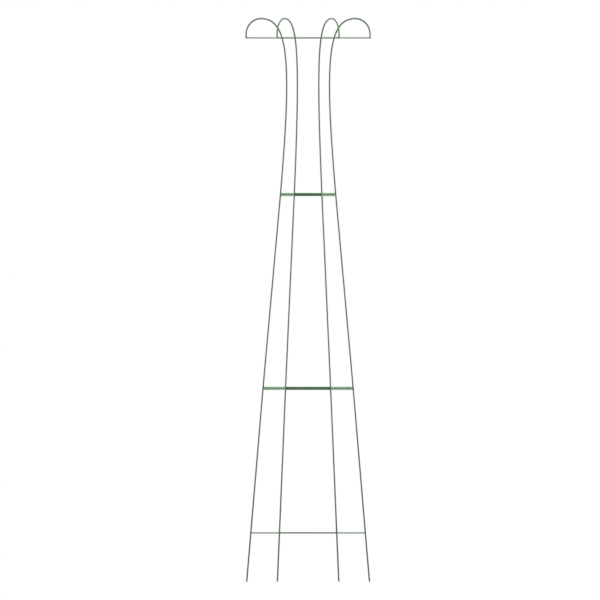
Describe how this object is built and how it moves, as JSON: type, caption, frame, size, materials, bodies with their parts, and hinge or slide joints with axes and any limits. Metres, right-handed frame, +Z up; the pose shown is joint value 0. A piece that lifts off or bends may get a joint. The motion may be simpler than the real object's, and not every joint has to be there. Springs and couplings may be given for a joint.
{
  "type": "garden obelisk",
  "caption": "Tall tapering garden obelisk of green coated steel wire in stacking tiers with hexagonal rings, its arms curling outwards at the top to a wide rim ring.",
  "frame": {"origin": "on the ground, midway between the feet", "axes": "+Z up along the obelisk's axis; one upright of each tier stands on +X"},
  "size_m": [0.3896, 0.338, 1.75],
  "materials": {
    "leg_coating": "semi-gloss plastic coating",
    "ring_coating": "semi-gloss plastic coating",
    "spigot_steel": "zinc-plated"
  },
  "bodies": {
    "lower_tier": {"lower_leg_1": "leg_coating", "lower_leg_2": "leg_coating", "lower_leg_3": "leg_coating", "lower_leg_4": "leg_coating", "lower_leg_5": "leg_coating", "lower_leg_6": "leg_coating", "ground_ring": "ring_coating", "lower_top_ring": "ring_coating"},
    "middle_tier": {"middle_leg_1": "leg_coating", "middle_leg_2": "leg_coating", "middle_leg_3": "leg_coating", "middle_leg_4": "leg_coating", "middle_leg_5": "leg_coating", "middle_leg_6": "leg_coating", "middle_foot_ring": "ring_coating", "middle_top_ring": "ring_coating", "lower_spigot_1": "spigot_steel", "lower_spigot_2": "spigot_steel", "lower_spigot_3": "spigot_steel", "lower_spigot_4": "spigot_steel", "lower_spigot_5": "spigot_steel", "lower_spigot_6": "spigot_steel"},
    "top_tier": {"curled_arm_1": "leg_coating", "curled_arm_2": "leg_coating", "curled_arm_3": "leg_coating", "curled_arm_4": "leg_coating", "curled_arm_5": "leg_coating", "curled_arm_6": "leg_coating", "top_foot_ring": "ring_coating", "rim_ring": "ring_coating", "upper_spigot_1": "spigot_steel", "upper_spigot_2": "spigot_steel", "upper_spigot_3": "spigot_steel", "upper_spigot_4": "spigot_steel", "upper_spigot_5": "spigot_steel", "upper_spigot_6": "spigot_steel"}
  },
  "joints": [
    {"name": "middle_tier_lift", "type": "slide", "parent": "lower_tier", "child": "middle_tier", "axis": [0, 0, 1], "range_m": [0, 0.06]},
    {"name": "top_tier_lift", "type": "slide", "parent": "middle_tier", "child": "top_tier", "axis": [0, 0, 1], "range_m": [0, 0.06]}
  ]
}
